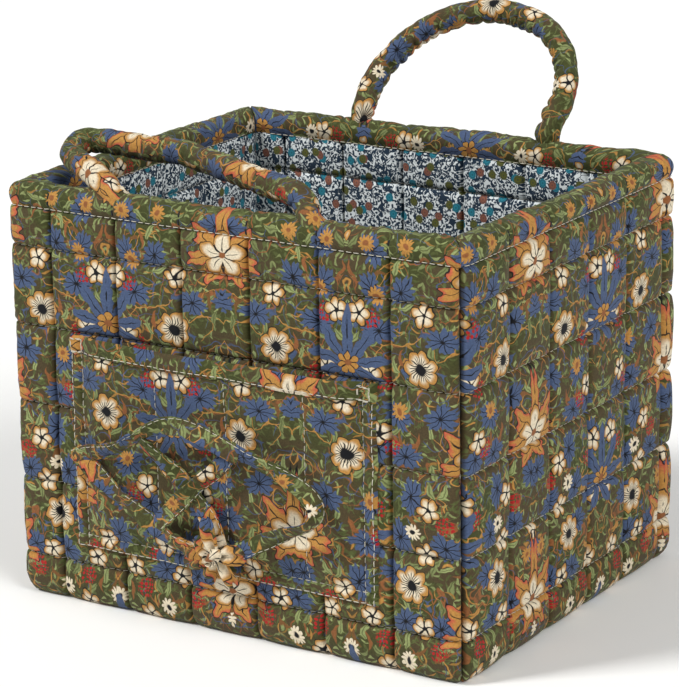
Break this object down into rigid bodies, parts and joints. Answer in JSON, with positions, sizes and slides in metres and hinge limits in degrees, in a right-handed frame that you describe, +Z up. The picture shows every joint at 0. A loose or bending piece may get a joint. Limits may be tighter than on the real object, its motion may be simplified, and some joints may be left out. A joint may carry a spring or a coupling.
{
  "type": "sewing basket",
  "caption": "Free-standing quilted fabric sewing basket with stiffened lined walls, padded rim, folding loop handles and a tied patch pocket.",
  "frame": {"origin": "middle of the base, on the surface the basket stands on", "axes": "+Z up; -Y is the front, with the pocket; +X to the right as seen from the front"},
  "size_m": [0.3, 0.3213, 0.3176],
  "materials": {
    "printed_cotton": "quilted printed cotton, matt",
    "lining_cotton": "quilted printed cotton, matt, small print",
    "stiffening_foam": "sewn-in stiffening foam, matt",
    "cotton_wadding": "soft cotton wadding",
    "cotton_webbing": "plain cotton tape",
    "sewing_thread": "sewing thread, slight sheen",
    "tie_cotton": "printed cotton ribbon, matt"
  },
  "bodies": {
    "basket": {"back_handle_tabs": "cotton_webbing", "back_lining": "lining_cotton", "back_panel": "printed_cotton", "back_stiffener": "stiffening_foam", "base_board": "stiffening_foam", "base_lining": "lining_cotton", "base_panel": "printed_cotton", "front_handle_tabs": "cotton_webbing", "front_lining": "lining_cotton", "front_panel": "printed_cotton", "front_stiffener": "stiffening_foam", "left_lining": "lining_cotton", "left_panel": "printed_cotton", "left_stiffener": "stiffening_foam", "pocket_bar_tacks": "sewing_thread", "pocket_bottom_turning": "printed_cotton", "pocket_hem": "printed_cotton", "pocket_left_turning": "printed_cotton", "pocket_panel": "printed_cotton", "pocket_right_turning": "printed_cotton", "right_lining": "lining_cotton", "right_panel": "printed_cotton", "right_stiffener": "stiffening_foam", "rim_binding": "printed_cotton", "rim_wadding": "cotton_wadding", "tie_cross_over": "tie_cotton", "tie_cross_under": "tie_cotton", "tie_knot": "tie_cotton", "tie_left_tail": "tie_cotton", "tie_right_loop": "tie_cotton", "tie_top_fold": "tie_cotton"},
    "front_handle": {"front_handle_cover": "printed_cotton", "front_handle_filling": "cotton_wadding"},
    "back_handle": {"back_handle_cover": "printed_cotton", "back_handle_filling": "cotton_wadding"}
  },
  "joints": [
    {"name": "front_handle_fold", "type": "hinge", "parent": "basket", "child": "front_handle", "pos_m": [0, -0.1175, 0.2528], "axis": [1, 0, 0], "range_deg": [-10, 180]},
    {"name": "back_handle_fold", "type": "hinge", "parent": "basket", "child": "back_handle", "pos_m": [0, 0.1175, 0.2528], "axis": [1, 0, 0], "range_deg": [-54, 136]}
  ]
}
